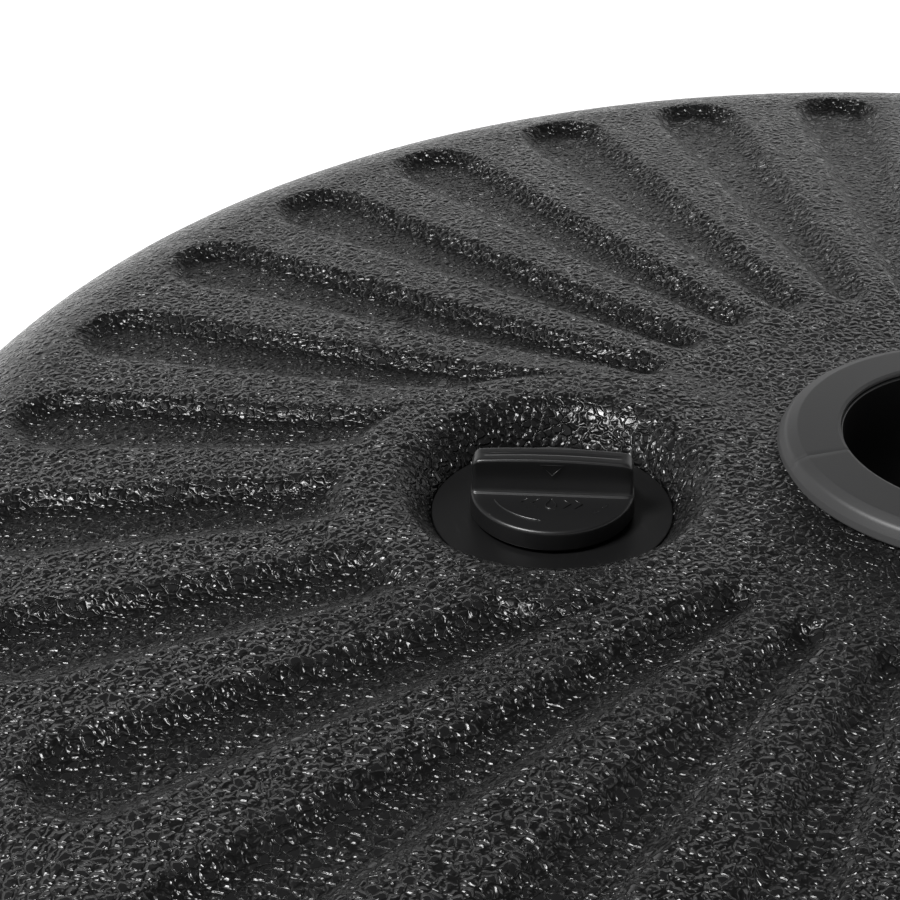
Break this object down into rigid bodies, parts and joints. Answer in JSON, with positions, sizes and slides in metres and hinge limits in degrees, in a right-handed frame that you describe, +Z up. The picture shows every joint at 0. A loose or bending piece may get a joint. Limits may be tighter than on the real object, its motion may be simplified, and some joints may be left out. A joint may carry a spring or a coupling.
{
  "type": "parasol base",
  "caption": "Round fillable parasol base: fluted moulded tank, screw-capped filler in a shallow well, central pole socket with clamped collar.",
  "frame": {"origin": "centre of the base on the floor, under the pole socket's axis", "axes": "+Z up along the pole socket; the filler cap lies on the -X side"},
  "size_m": [0.51, 0.51, 0.0767],
  "materials": {
    "grained_plastic": "pebble grain, semi-matt",
    "smooth_plastic": "smooth satin",
    "satin_plastic": "smooth satin",
    "cap_plastic": "smooth, slight sheen",
    "rubber": "matt"
  },
  "bodies": {
    "base": {"tank": "grained_plastic", "filler_neck": "smooth_plastic", "socket_tube": "smooth_plastic", "collar": "satin_plastic", "socket_nut": "smooth_plastic", "nut_washer": "rubber", "foot_pad_1": "rubber", "foot_pad_2": "rubber", "foot_pad_3": "rubber", "foot_pad_4": "rubber", "foot_pad_5": "rubber", "foot_pad_6": "rubber"},
    "seal": {"cap_gasket": "rubber"},
    "cap": {"filler_cap": "cap_plastic"}
  },
  "joints": [
    {"name": "cap_lift", "type": "slide", "parent": "base", "child": "seal", "axis": [0, 0, 1], "range_m": [0, 0.016]},
    {"name": "cap_turn", "type": "hinge", "parent": "seal", "child": "cap", "pos_m": [-0.094, 0, 0], "axis": [0, 0, 1], "range_deg": [0, 1150]}
  ],
  "couplings": [
    {"joint": "cap_lift", "follows": "cap_turn", "m_per_rad": 0.00079577}
  ]
}
